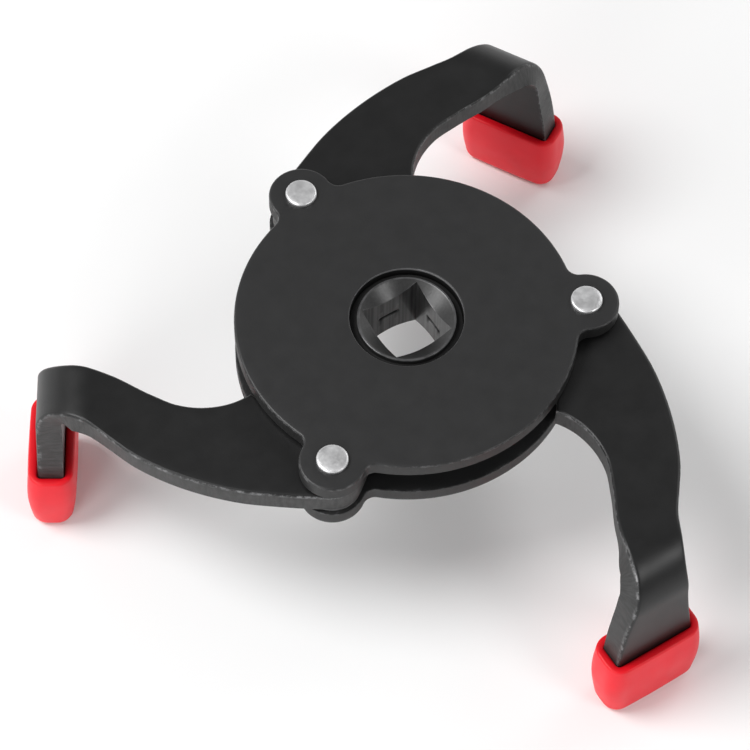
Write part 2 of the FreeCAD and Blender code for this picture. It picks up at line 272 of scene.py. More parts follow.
def involute(angle):
    return math.tan(angle) - angle


def tooth(teeth, direction, centre=ORIGIN):
    """Points round one tooth from root to root, the root circle's radius and half the foot's angle."""
    pitch_radius = GEAR_MODULE * teeth / 2
    base_radius = pitch_radius * math.cos(PRESSURE_ANGLE)
    root = pitch_radius - DEDENDUM * GEAR_MODULE
    tip = pitch_radius + GEAR_MODULE
    width = math.pi * GEAR_MODULE / 2 - BACKLASH / 2
    low, high = [], []
    for step in range(4):
        radius = max(base_radius, root) + (tip - max(base_radius, root)) * step / 3
        pressure = math.acos(min(1.0, base_radius / radius))
        half = math.degrees(width / (2 * pitch_radius)
                            + involute(PRESSURE_ANGLE) - involute(pressure))
        low.append(polar(radius, direction - half, centre))
        high.append(polar(radius, direction + half, centre))
        if step == 0:
            edge = half
    ends = polar(root, direction - edge, centre), polar(root, direction + edge, centre)
    return [ends[0]] + low + high[::-1] + [ends[1]], root, edge


def gear_outline():
    """All the drive gear's teeth, anticlockwise."""
    points = []
    for index in range(HUB_TEETH):
        points += tooth(HUB_TEETH, 90 + index * 360 / HUB_TEETH)[0]
    return points


def plan_to_blank(point):
    """A plan point as (distance outward, distance across)."""
    place = Vector((point[0], point[1], 0))
    return (place.dot(OUTWARD), (place - JAW_CENTRE).dot(BEND_AXIS))


def arm_outline():
    """The arm's flat blank, anticlockwise: teeth, inner edge, jaw end, outer edge and eye."""
    centre = tuple(FIRST_PIVOT.xy)
    pitch = 360 / ARM_TEETH
    middle = -90 - MESH_TURN
    teeth = []
    for index in SECTOR_TEETH:
        points, root, edge = tooth(ARM_TEETH, middle + (index + 0.5) * pitch, centre)
        teeth += points
    first = middle + (SECTOR_TEETH[0] + 0.5) * pitch - edge - SECTOR_TAIL
    last = middle + (SECTOR_TEETH[-1] + 0.5) * pitch + edge + SECTOR_STEP
    step = polar(root, last, centre)
    step_out = polar(GEAR_MODULE * (ARM_TEETH / 2 + STEP_HEIGHT), last + SECTOR_STEP, centre)
    eye_end = first - math.degrees(math.acos(EYE_RADIUS / root)) + 360
    inner = curve([plan_to_blank(point) for point in (step_out,) + INNER_SWEEP] + list(INNER_EDGE))
    outer = curve(list(OUTER_EDGE) + [plan_to_blank(point) for point in
                                      OUTER_SWEEP + (polar(EYE_RADIUS, EYE_START, centre),)])
    jaw_end = curve([INNER_EDGE[-1], (INNER_EDGE[-1][0], 0.0), OUTER_EDGE[0]])
    eye = arc(EYE_RADIUS, EYE_START, eye_end, centre) + [polar(EYE_RADIUS, eye_end, centre)]
    root_part = [plan_to_blank(point) for point in [polar(root, first, centre)] + teeth + [step]]
    sides = [(run, across, 1.0 if run < COVERED_RUN else COVERED_ROLL_SHARE)
             for run, across in inner + jaw_end + outer]
    return (shared(root_part, TOOTH_ROLL_SHARE) + sides
            + shared([plan_to_blank(point) for point in eye], EYE_ROLL_SHARE))


# ---- mesh building ----
def make_mesh(name, vertices, faces, marks=None, sharp_angle=SHARP_ANGLE):
    """A smooth-shaded mesh from millimetre vertices, with the named per-vertex values in marks."""
    mesh = bpy.data.meshes.new(name)
    mesh.from_pydata([tuple(Vector(vertex) * MM) for vertex in vertices], [], faces)
    mesh.validate()
    mesh.shade_smooth()
    mesh.set_sharp_from_angle(angle=math.radians(sharp_angle))
    for mark, values in (marks or {}).items():
        mesh.attributes.new(mark, "FLOAT", "POINT").data.foreach_set("value", values)
    piece = bpy.data.objects.new(name, mesh)
    bpy.context.scene.collection.objects.link(piece)
    return piece


def finish_piece(piece, material, body, nodes):
    piece.data.materials.append(material)
    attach(piece, body)
    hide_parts(*nodes)
    return piece


def inward_steps(points):
    """For each point of a loop, the step that moves both its edges 1 mm to their left."""
    steps = []
    least = 0.6  # keeps a sharp corner's point from moving too far
    count = len(points)
    for i in range(count):
        here = Vector(points[i][:2])
        before = (here - Vector(points[i - 1][:2])).normalized()
        after = (Vector(points[(i + 1) % count][:2]) - here).normalized()
        total = Vector((-before.y - after.y, before.x + after.x))
        steps.append(total / max(least, 1 + before.dot(after)))
    return steps


def inside(loop, places):
    """Which of the places lie inside a closed loop."""
    x, y = places[:, 0], places[:, 1]
    odd = np.zeros(len(places), bool)
    for i in range(len(loop)):
        ax, ay = loop[i - 1]
        bx, by = loop[i]
        if ay != by:
            odd ^= ((ay > y) != (by > y)) & (x < (bx - ax) * (y - ay) / (by - ay) + ax)
    return odd


def filled(loops, spacing):
    """Even triangles inside the first loop and outside the others: added points and index triples."""
    row_share = 0.866  # height of an even triangle over its side
    edge_share = 0.6  # least distance of an added point from the edges, over the spacing
    tolerance = 1e-5
    outline = [np.array(loop) for loop in loops]
    edge_points = np.vstack(outline)
    low, high = outline[0].min(0), outline[0].max(0)
    rows = int((high[1] - low[1]) / (spacing * row_share)) + 1
    columns = int((high[0] - low[0]) / spacing) + 1
    grid = np.array([(low[0] + (column + 0.5 * (row % 2)) * spacing, low[1] + row * spacing * row_share)
                     for row in range(rows) for column in range(columns)])
    keep = inside(outline[0], grid)
    for hole in outline[1:]:
        keep &= ~inside(hole, grid)
    grid = grid[keep]
    nearest = np.array([((edge_points - place) ** 2).sum(1).min() for place in grid])
    grid = grid[nearest > (edge_share * spacing) ** 2]
    every = [Vector(point) for point in np.vstack([edge_points, grid])]
    edges = []
    start = 0
    for loop in outline:
        edges += [(start + i, start + (i + 1) % len(loop)) for i in range(len(loop))]
        start += len(loop)
    _, _, triangles, sources, _, _ = delaunay_2d_cdt(every, edges, [], 0, tolerance)
    faces = [[sources[corner][0] for corner in triangle] for triangle in triangles]
    centres = np.array([sum((every[corner] for corner in face), Vector((0, 0))) / 3 for face in faces])
    keep = inside(outline[0], centres)
    for hole in outline[1:]:
        keep &= ~inside(hole, centres)
    return [tuple(point) for point in grid], [face for face, kept in zip(faces, keep) if kept]


def stamped(name, loops, thick, roll, place, spacing):
    """A stamped blank: rolled upper edge, sheared side and a small break at the lower edge.

    Loops hold (x, y, share of the roll). The first is the anticlockwise outline and the others are
    clockwise holes. place(x, y, depth) gives where a point of the blank goes, in millimetres.
    """
    profile = []
    # Inset, depth, worn edge and sheared side of each row down the edge.
    for step in range(ROLL_STEPS):
        angle = math.radians(90 * step / ROLL_STEPS)
        profile.append((roll[0] * (1 - math.sin(angle)), roll[1] * (1 - math.cos(angle)),
                        step / (ROLL_STEPS - 1), 0.0))
    profile.append((0.0, roll[1] * 1.1, 0.9, 1.0))
    rolled_rows = len(profile)
    for share in SIDE_SHARES:
        profile.append((0.0, roll[1] + share * (thick - roll[1]), 0.0, 1.0))
    profile.append((0.0, thick - SHEAR_BREAK[1], 0.8, 1.0))
    profile.append((SHEAR_BREAK[0], thick, 0.8, 0.0))
    steps = [inward_steps(loop) for loop in loops]
    vertices, faces = [], []
    edge_marks, side_marks, bore_marks, along_marks, deep_marks = [], [], [], [], []
    first_rows, last_rows = [], []
    for loop, directions in zip(loops, steps):
        count = len(loop)
        base = len(vertices)
        along = [0.0]
        for before, after in zip(loop, loop[1:]):
            along.append(along[-1] + math.dist(before[:2], after[:2]))
        for row, (inset, depth, edge, side) in enumerate(profile):
            flat = []
            for (x, y, share), direction in zip(loop, directions):
                if row < rolled_rows:
                    here_inset, here_depth = inset * share, depth * share
                else:
                    here_inset, here_depth = inset, depth
                point = (x + direction.x * here_inset, y + direction.y * here_inset)
                flat.append(point)
                vertices.append(place(point[0], point[1], here_depth))
                edge_marks.append(edge)
                side_marks.append(side)
                # Rows down the walls of holes carry the bore mark: painted shade on their sheared part,
                # a polished edge above.
                bore_marks.append(0.0 if loop is loops[0] or row < ROLL_STEPS - 1 else 1.0)
                deep_marks.append(here_depth)
            along_marks += along
            if row == 0:
                first_rows.append((base, flat))
            if row == len(profile) - 1:
                last_rows.append((base + row * count, flat))
        for row in range(len(profile) - 1):
            for i in range(count):
                a = base + row * count + i
                b = base + row * count + (i + 1) % count
                faces.append((a, a + count, b + count, b))
    for rows, depth, upward in ((first_rows, 0.0, True), (last_rows, thick, False)):
        index = [start + i for start, flat in rows for i in range(len(flat))]
        added, triples = filled([flat for _, flat in rows], spacing)
        index += range(len(vertices), len(vertices) + len(added))
        vertices += [place(x, y, depth) for x, y in added]
        for values in (edge_marks, side_marks, bore_marks, along_marks, deep_marks):
            values += [0.0] * len(added)
        for triple in triples:
            corners = [index[corner] for corner in triple]
            faces.append(corners if upward else corners[::-1])
    marks = {"worn_edge": edge_marks, "sheared": side_marks, "bore": bore_marks,
             "along": along_marks, "deep": deep_marks}
    return make_mesh(name, vertices, faces, marks)


def stacked(name, loops, closed=False, marks=None, sharp_angle=SHARP_ANGLE):
    """A skin over loops of equal length, a ring if closed and else with fans at its ends.

    Each mark has a value for every loop, or a list with a value for each of the loop's points.
    """
    count = len(loops[0])
    vertices = [point for loop in loops for point in loop]
    faces = []
    for row in range(len(loops) if closed else len(loops) - 1):
        for i in range(count):
            a = row * count + i
            b = row * count + (i + 1) % count
            below = (row + 1) % len(loops) * count
            faces.append((a, b, below + (i + 1) % count, below + i))
    values = {}
    for mark_name, rows in (marks or {}).items():
        by_point = [row if isinstance(row, list) else [row] * count for row in rows]
        values[mark_name] = [value for row in by_point for value in row]
    if not closed:
        for start, first_end in ((0, True), (len(vertices) - count, False)):
            ring = [Vector(vertices[start + i]) for i in range(count)]
            vertices.append(sum(ring, Vector((0, 0, 0))) / count)
            for rows in values.values():
                rows.append(rows[start])
            for i in range(count):
                face = (len(vertices) - 1, start + (i + 1) % count, start + i)
                faces.append(face if first_end else face[::-1])
    return make_mesh(name, vertices, faces, values, sharp_angle)


def lathe(name, profile, centre, closed=False):
    """A turned piece from (radius, height) points, from its bottom up the outside."""
    loops = [[polar(radius, 360 * i / LATHE_SEGMENTS, centre) + (height,) for i in range(LATHE_SEGMENTS)]
             for radius, height in profile]
    return stacked(name, loops, closed)


# ---- plates, rivets and washers ----
def make_plate(name, node, outer_height, facing, material):
    """A plate whose rolled edge is on its outer face, at outer_height; facing is 1 up or -1 down."""
    outline = shared(plate_outline(), 1.0)
    if facing < 0:
        outline = [(x, -y, share) for x, y, share in outline[::-1]]
    holes = [shared(arc(PLATE_BORE_RADIUS, 360, 0), BORE_ROLL_SHARE)]
    for pivot in PIVOTS:
        centre = (pivot.x, facing * pivot.y)
        circle = arc(RIVET_SHANK_RADIUS, 360, 0, centre, spacing=0.5)
        holes.append(shared(circle, RIVET_HOLE_ROLL_SHARE))

    def place(x, y, depth):
        return (x, facing * y, outer_height - facing * depth)

    thick = TOP_PLATE_HIGH.z - TOP_PLATE_LOW.z
    piece = stamped(name, [outline] + holes, thick, PLATE_ROLL, place, PLATE_SPACING)
    return finish_piece(piece, material, "frame", [node])


def make_rivet(index, material):
    """Stepped pin with a nearly flat round head at each end."""
    pivot = PIVOTS[index]
    low, high = BOTTOM_PLATE_HIGH.z, TOP_PLATE_LOW.z
    upper = [(RIVET_SHANK_RADIUS, high), (RIVET_SHANK_RADIUS, TOP_PLATE_HIGH.z),
             (RIVET_HEAD_RADIUS - RIVET_UNDERCUT, TOP_PLATE_HIGH.z)]
    centre = (RIVET_HEAD_RADIUS - RIVET_HEAD_ROUND, RIVET_HIGH.z - RIVET_HEAD_ROUND - RIVET_CROWN)
    upper += [polar(RIVET_HEAD_ROUND, RIVET_HEAD_ROUND_END * step / RIVET_HEAD_STEPS, centre)
              for step in range(RIVET_HEAD_STEPS + 1)]
    upper += [(RIVET_HEAD_RADIUS * 0.7, RIVET_HIGH.z - 0.03), (RIVET_HEAD_RADIUS * 0.35, RIVET_HIGH.z)]
    mirrored = [(radius, 2 * STACK_MIDDLE - height) for radius, height in upper[::-1]]
    profile = mirrored + [(RIVET_SHOULDER_RADIUS, low), (RIVET_SHOULDER_RADIUS, high)] + upper
    piece = lathe("pivot_pin_" + str(index + 1), profile, tuple(pivot.xy))
    return finish_piece(piece, material, "frame", ["pivot_rivet_" + str(index + 1)])


def make_washer(index, name, node, low, material):
    pivot = PIVOTS[index]
    high = low + WASHER_THICK
    profile = [(RIVET_SHOULDER_RADIUS, low), (WASHER_RADIUS - WASHER_EDGE, low),
               (WASHER_RADIUS, low + WASHER_EDGE), (WASHER_RADIUS, high - WASHER_EDGE),
               (WASHER_RADIUS - WASHER_EDGE, high), (RIVET_SHOULDER_RADIUS, high)]
    piece = lathe(name, profile, tuple(pivot.xy), closed=True)
    return finish_piece(piece, material, "frame", [node])


# ---- drive gear ----
def square_samples():
    """Places round the square hole: the flat's direction in degrees and the distance along it."""
    half = DRIVE_SQUARE / 2
    ends = DETENT_HALF_LENGTH
    to_right = [0.25 * ends, 0.5 * ends, 0.75 * ends, ends, ends + 0.02,
                0.5 * half, 0.7 * half, 0.9 * half]
    along = [-half] + [-distance for distance in to_right[::-1]] + [0] + to_right
    return [(DRIVE_SQUARE_TURN + 90 * flat, distance) for flat in range(4) for distance in along]


def circle_loop(radius, height):
    half = DRIVE_SQUARE / 2
    return [polar(radius, direction + math.degrees(math.atan2(distance, half))) + (height,)
            for direction, distance in square_samples()]


def square_loop(height, pocket=0.0):
    """The square at a height. A detent slot scoops out the middle of each flat by up to its pocket."""
    half = DRIVE_SQUARE / 2
    loop = []
    for direction, distance in square_samples():
        scoop = math.cos(math.pi / 2 * min(1.0, abs(distance) / DETENT_HALF_LENGTH))
        depth = half + pocket * math.sqrt(max(0.0, scoop))
        angle = direction + math.degrees(math.atan2(distance, depth))
        loop.append(polar(math.hypot(depth, distance), angle) + (height,))
    return loop


def slot_marks():
    """Which points round the square hole lie in a detent slot."""
    return [1.0 if abs(distance) < DETENT_HALF_LENGTH else 0.0 for _, distance in square_samples()]


def hub_end(end, shoulder, up):
    """Rows from the boss over its shoulder, up the neck and down the countersink into the hole.

    Each row is a loop and its marks: worn_edge, recess_shade (painted shade), turned and broached.
    """
    rim = circle_loop(HUB_RIM_RADIUS, end - HUB_RIM_DROP * up)
    mouth = [(x, y, end - up * (HUB_RIM_DROP + COUNTERSINK_SLOPE * (HUB_RIM_RADIUS - math.hypot(x, y))))
             for x, y, _ in square_loop(end)]
    # Radius, height it is measured from, rise, worn edge and recess painted in shade.
    sides = ((BOSS_RADIUS, shoulder, -2.0, 0.0, 1.0), (BOSS_RADIUS, shoulder, -0.3, 0.0, 1.0),
             (BOSS_RADIUS - 0.1, shoulder, -0.08, 0.0, 1.0), (BOSS_RADIUS - 0.3, shoulder, 0, 0.0, 1.0),
             (HUB_NECK_RADIUS + 0.3, shoulder, 0, 0.0, 1.0),
             (HUB_NECK_RADIUS + 0.06, shoulder, 0.08, 0.0, 1.0),
             (HUB_NECK_RADIUS, shoulder, 0.3, 0.0, 1.0), (HUB_NECK_RADIUS, end, -0.35, 0.0, 1.0),
             (HUB_NECK_RADIUS, end, -0.25, 0.6, 0.0), (HUB_NECK_RADIUS - 0.07, end, -0.08, 1.0, 0.0),
             (HUB_NECK_RADIUS - 0.2, end, 0, 1.0, 0.0), (HUB_RIM_RADIUS + 0.08, end, 0, 0.5, 0.0))
    rows = [(circle_loop(radius, base + up * rise), worn, recess_shade, 0.0, 0.0)
            for radius, base, rise, worn, recess_shade in sides]
    rows.append((rim, 0.5, 0.0, 1.0, 0.0))
    for share in (0.04, 0.35, 0.65, 0.96):
        step = [tuple(Vector(a).lerp(Vector(b), share)) for a, b in zip(rim, mouth)]
        rows.append((step, 0.0, 0.0, 1.0, 0.0))
    rows.append((mouth, 0.5, 0.0, 0.4, 0.6))
    slot_end = square_loop(GEAR_MIDDLE + up * DETENT_HALF_HEIGHT)
    for share in (0.03, 0.3, 0.6):
        step = [tuple(Vector(a).lerp(Vector(b), share)) for a, b in zip(mouth, slot_end)]
        rows.append((step, 0.0, 0.0, 0.0, 1.0))
    for share in (1.0, 0.66, 0.33):
        height = GEAR_MIDDLE + up * DETENT_HALF_HEIGHT * share
        pocket = DETENT_DEPTH * math.cos(math.pi / 2 * share)
        # The detent slots' points carry painted shade.
        rows.append((square_loop(height, pocket), 0.0, slot_marks() if share < 1 else 0.0, 0.0, 1.0))
    return rows


def make_gear(material):
    upper = hub_end(GEAR_HIGH.z, TOP_PLATE_HIGH.z - BOSS_SINK, 1)
    lower = hub_end(GEAR_LOW.z, BOTTOM_PLATE_LOW.z + BOSS_SINK, -1)
    middle = (square_loop(GEAR_MIDDLE, DETENT_DEPTH), 0.0, slot_marks(), 0.0, 1.0)
    loops, worn, recess_shade, turned, broached = zip(*(upper + [middle] + lower[::-1]))
    hub = stacked("drive_hub", loops, closed=True, sharp_angle=HUB_SHARP_ANGLE,
                  marks={"worn_edge": worn, "recess_shade": recess_shade, "turned": turned, "broached": broached})

    def place(x, y, depth):
        return (x, y, STACK_MIDDLE + GEAR_HALF_WIDTH - depth)

    ring = shared(arc(BOSS_RADIUS - GEAR_OVERLAP, 360, 0), 0.5)
    teeth = stamped("drive_teeth", [shared(gear_outline(), 1.0), ring], 2 * GEAR_HALF_WIDTH, GEAR_ROLL,
                    place, PLATE_SPACING)
    with bpy.context.temp_override(active_object=hub, object=hub, selected_objects=[hub, teeth],
                                   selected_editable_objects=[hub, teeth]):
        bpy.ops.object.join()
    return finish_piece(hub, material, "drive", ["drive_gear"])


# ---- arms ----
BEND_START_TURN = -math.atan(CREST_SLOPE)
BEND_RUN = BEND_OUT + BEND_OUTER_RADIUS * math.sin(BEND_START_TURN)
BEND_END_RUN = BEND_RUN + BEND_OUTER_RADIUS * (math.pi / 2 - BEND_START_TURN)
BEND_CENTRE_HEIGHT = BEND_TOP - BEND_OUTER_RADIUS
# The flat arm's top face rises to meet the bend at its height and its slope.
CREST_RISE = BEND_CENTRE_HEIGHT + BEND_OUTER_RADIUS * math.cos(BEND_START_TURN) - ARM_TOP
CREST_POWER = CREST_SLOPE * (BEND_RUN - CREST_START) / CREST_RISE
INNER_CENTRE = (JAW_FACE - JAW_THICK - BEND_INNER_RADIUS, BEND_TOP - ARM_THICK - BEND_INNER_RADIUS)
# The inner face catches up with the outer face's turn by this angle, and with its height by this drop.
CATCH_UP_TURN = math.radians(18)
CATCH_UP_DROP = 6.5
# The inner face, squeezed by the bending, bulges past both edges between these runs.
BULGE_START = 59.5
BULGE_PEAK = 69.0
BULGE_END = 86.0
# How far the low and the high edge are pushed, the place across that stays, and the reach to full push.
BULGE_LOW = 2.3
BULGE_HIGH = 0.9
BULGE_MIDDLE = 2.5
BULGE_REACH = 5.5


def jaw_face(height):
    return JAW_FACE + JAW_LEAN * max(0.0, BEND_CENTRE_HEIGHT - height)


def bend_faces(run):
    """The outer and the inner face's (distance outward, height) at a run along the blank."""
    if run <= BEND_RUN:
        share = max(0.0, run - CREST_START) / (BEND_RUN - CREST_START)
        top = ARM_TOP + CREST_RISE * share ** CREST_POWER
        return (run, top), (run, top - ARM_THICK)
    turn = BEND_START_TURN + (run - BEND_RUN) / BEND_OUTER_RADIUS
    if turn < math.pi / 2:
        outer = (BEND_OUT + BEND_OUTER_RADIUS * math.sin(turn),
                 BEND_CENTRE_HEIGHT + BEND_OUTER_RADIUS * math.cos(turn))
        straight = INNER_CENTRE[0] - BEND_RUN
        if turn < CATCH_UP_TURN:
            share = (turn - BEND_START_TURN) / (CATCH_UP_TURN - BEND_START_TURN)
            past = share * (straight + BEND_INNER_RADIUS * CATCH_UP_TURN) - straight
        else:
            past = BEND_INNER_RADIUS * turn
        angle = max(0.0, past) / BEND_INNER_RADIUS
        return outer, (INNER_CENTRE[0] + min(0.0, past) + BEND_INNER_RADIUS * math.sin(angle),
                       INNER_CENTRE[1] + BEND_INNER_RADIUS * math.cos(angle))
    drop = run - BEND_END_RUN
    height = BEND_CENTRE_HEIGHT - drop
    lag = (INNER_CENTRE[1] - BEND_CENTRE_HEIGHT) * max(0.0, 1 - drop / CATCH_UP_DROP)
    return (jaw_face(height), height), (jaw_face(height) - JAW_THICK, height + lag)


def bulge(run, across):
    """How far the inner face is pushed across at a place on the blank."""
    if run < BULGE_PEAK:
        rise = max(0.0, (run - BULGE_START) / (BULGE_PEAK - BULGE_START))
    else:
        rise = max(0.0, (BULGE_END - run) / (BULGE_END - BULGE_PEAK))
    side = max(-1.0, min(1.0, (across - BULGE_MIDDLE) / BULGE_REACH))
    return side * (BULGE_LOW if side < 0 else BULGE_HIGH) * math.sin(math.pi / 2 * rise) ** 2


def blank_point(out, across, height):
    return JAW_CENTRE + OUTWARD * (out - JAW_CENTRE_OUT) + BEND_AXIS * across + UP * height


def arm_matrix(index):
    """From the first arm's place at rest to this arm's, which stands elsewhere in its teeth's play."""
    turn = Matrix.Rotation(math.radians(ARM_REST_TURN[index]), 4, "Z")
    about_pivot = Matrix.Translation(FIRST_PIVOT) @ turn @ Matrix.Translation(-FIRST_PIVOT)
    return Matrix.Rotation(math.radians(360 * index / ARMS), 4, "Z") @ about_pivot


def make_arm(index, material):
    matrix = arm_matrix(index)

    def place(run, across, depth):
        outer, inner = bend_faces(run)
        share = depth / ARM_THICK
        out = outer[0] + (inner[0] - outer[0]) * share
        height = outer[1] + (inner[1] - outer[1]) * share
        return matrix @ blank_point(out, across + share * bulge(run, across), height)

    centre = tuple(FIRST_PIVOT.xy)
    circle = arc(ARM_BORE_RADIUS, 360, 0, centre, spacing=0.5)
    bore = shared([plan_to_blank(point) for point in circle], ARM_BORE_ROLL_SHARE)
    number = "_" + str(index + 1)
    piece = stamped("jaw_steel" + number, [arm_outline(), bore], ARM_THICK, ARM_ROLL, place, ARM_SPACING)
    return finish_piece(piece, material, "jaw_arm" + number, ["arm" + number])


# ---- jaw sleeves ----
def sleeve_loop(height, wall, corner, bow, matrix):
    """A rounded rectangle round the jaw, a wall outside it, each side bowed by a share of its length."""
    run = BEND_END_RUN + BEND_CENTRE_HEIGHT - height
    rim_run, rim_low = INNER_EDGE[-2]
    end_run, end_low = INNER_EDGE[-1]
    rim_high, end_high = OUTER_EDGE[1][1], OUTER_EDGE[0][1]
    share = (run - rim_run) / (end_run - rim_run)
    low = rim_low + share * (end_low - rim_low)
    high = rim_high + share * (end_high - rim_high)
    half = (JAW_THICK / 2 + wall, (high - low) / 2 + wall)
    middle = (jaw_face(height) - JAW_THICK / 2, (low + high) / 2)
    points = []
    for side, (x_sign, y_sign) in enumerate(((1, 1), (-1, 1), (-1, -1), (1, -1))):
        centre = (x_sign * (half[0] - corner), y_sign * (half[1] - corner))
        points += [polar(corner, 90 * side + 90 * step / SLEEVE_CORNER_STEPS, centre)
                   for step in range(SLEEVE_CORNER_STEPS + 1)]
        next_sign = ((-1, 1), (-1, -1), (1, -1), (1, 1))[side]
        end = (next_sign[0] * (half[0] - corner), next_sign[1] * (half[1] - corner))
        normal = polar(1, 90 * side + 90)
        for step in range(1, SLEEVE_SIDE_STEPS):
            t = step / SLEEVE_SIDE_STEPS
            bowed = corner + bow * math.dist(centre, end) * 4 * t * (1 - t)
            points.append((centre[0] + (end[0] - centre[0]) * t + normal[0] * bowed,
                           centre[1] + (end[1] - centre[1]) * t + normal[1] * bowed))
    return [tuple(matrix @ blank_point(middle[0] + x, middle[1] + y, height)) for x, y in points]


def make_sleeve(index, material):
    """A dipped sleeve: rounded foot, slightly swollen sides, soft rim and a pocket for the jaw."""
    matrix = arm_matrix(index)
    foot = FLOOR_HEIGHT
    rows = []
    for step in range(SLEEVE_FOOT_STEPS + 1):
        angle = math.radians(90 * step / SLEEVE_FOOT_STEPS)
        inset = SLEEVE_BOTTOM_ROUND * (1 - math.sin(angle))
        height = foot + SLEEVE_BOTTOM_ROUND * (1 - math.cos(angle))
        corner = max(1.2, SLEEVE_CORNER - 0.75 * inset)
        rows.append((height, SLEEVE_WALL - SLEEVE_TAPER - inset, corner, SLEEVE_BOW, 0.0))
    for step in range(1, SLEEVE_WALL_STEPS):
        share = step / SLEEVE_WALL_STEPS
        height = (foot + SLEEVE_BOTTOM_ROUND
                  + share * (SLEEVE_RIM - SLEEVE_LIP - foot - SLEEVE_BOTTOM_ROUND))
        swell = SLEEVE_BULGE * math.sin(math.pi * share) - SLEEVE_TAPER * (1 - share)
        rows.append((height, SLEEVE_WALL + swell, SLEEVE_CORNER, SLEEVE_BOW, 0.0))
    # Over the rim and down the pocket: drop below the rim, wall, corner, bow and rim mark, the share of
    # painted shade.
    lip = ((0.55, SLEEVE_WALL, SLEEVE_CORNER, 0.006, 0.1),
           (0.25, SLEEVE_WALL - 0.05, SLEEVE_CORNER, 0.006, 0.5),
           (0.06, SLEEVE_WALL - 0.22, SLEEVE_CORNER - 0.2, 0.005, 1.0),
           (0.0, SLEEVE_WALL - 0.45, SLEEVE_CORNER - 0.5, 0.004, 1.0), (0.0, 1.0, 2.2, 0.002, 1.0),
           (0.08, 0.55, 1.5, 0.0, 1.0), (0.3, 0.2, 0.8, 0.0, 1.0), (1.2, 0.03, 0.35, 0.0, 1.0),
           (SLEEVE_RIM - foot - 2.3, 0.03, 0.35, 0.0, 1.0))
    rows += [(SLEEVE_RIM - drop, wall, corner, bow, rim_shade) for drop, wall, corner, bow, rim_shade in lip]
    loops = [sleeve_loop(height, wall, corner, bow, matrix) for height, wall, corner, bow, _ in rows]
    marks = {"rim": [row[4] for row in rows]}
    number = "_" + str(index + 1)
    piece = stacked("jaw_cover" + number, loops, marks=marks, sharp_angle=SLEEVE_SHARP_ANGLE)
    return finish_piece(piece, material, "jaw_arm" + number, ["jaw_sleeve" + number])


# ---- materials ----
def add(tree, kind, inputs=None, **settings):
    """A new node with its settings, and its inputs each a value or another node's output."""
    made = tree.nodes.new(kind)
    for setting, value in settings.items():
        setattr(made, setting, value)
    for socket, value in (inputs or {}).items():
        if isinstance(value, bpy.types.NodeSocket):
            tree.links.new(value, made.inputs[socket])
        else:
            made.inputs[socket].default_value = value
    return made


def texture(tree, scale, detail, stretch=(1, 1, 1), roughness=0.5):
    """Noise in the object's own space, its scale in cells per metre, stretched by axis."""
    place = add(tree, "ShaderNodeTexCoord").outputs["Object"]
    mapped = add(tree, "ShaderNodeMapping", {"Vector": place, "Scale": stretch}).outputs["Vector"]
    return add(tree, "ShaderNodeTexNoise", {"Vector": mapped, "Scale": scale, "Detail": detail,
                                            "Roughness": roughness}).outputs["Fac"]


def ramp(tree, value, low, high, to_low=0.0, to_high=1.0):
    """The value, rescaled from one range to another and held inside it."""
    return add(tree, "ShaderNodeMapRange", {"Value": value, "From Min": low, "From Max": high,
                                            "To Min": to_low, "To Max": to_high}).outputs["Result"]


def maths(tree, operation, first, second):
    return add(tree, "ShaderNodeMath", {0: first, 1: second}, operation=operation).outputs[0]


def colours(tree, factor, first, second):
    return add(tree, "ShaderNodeMix", {0: factor, 6: first, 7: second}, data_type="RGBA").outputs[2]


def grey(level, tint=0.0):
    return (level, level, level * (1 + tint), 1)


def mark(tree, name):
    return add(tree, "ShaderNodeAttribute", attribute_name=name).outputs["Fac"]


def bumps(tree, *layers):
    """Bump nodes one on another, from (height, distance in metres) layers."""
    normal = None
    for height, distance in layers:
        inputs = {"Height": height, "Distance": distance, "Strength": 1.0}
        if normal is not None:
            inputs["Normal"] = normal
        normal = add(tree, "ShaderNodeBump", inputs).outputs["Normal"]
    return normal


def new_material(name):
    material = bpy.data.materials.new(name)
    material.use_nodes = True
    material.node_tree.nodes.clear()
    return material, material.node_tree


def surface(tree, inputs):
    shader = add(tree, "ShaderNodeBsdfPrincipled", inputs)
    add(tree, "ShaderNodeOutputMaterial", {"Surface": shader.outputs["BSDF"]})


def streaks(tree, scale, detail):
    """Noise drawn out through a blank's thickness, its scale in cells per millimetre of edge."""
    deep = maths(tree, "MULTIPLY", mark(tree, "deep"), STREAK_STRETCH)
    place = add(tree, "ShaderNodeCombineXYZ", {"X": mark(tree, "along"), "Y": deep}).outputs["Vector"]
    return add(tree, "ShaderNodeTexNoise", {"Vector": place, "Scale": scale, "Detail": detail,
                                            "Roughness": 0.65}).outputs["Fac"]


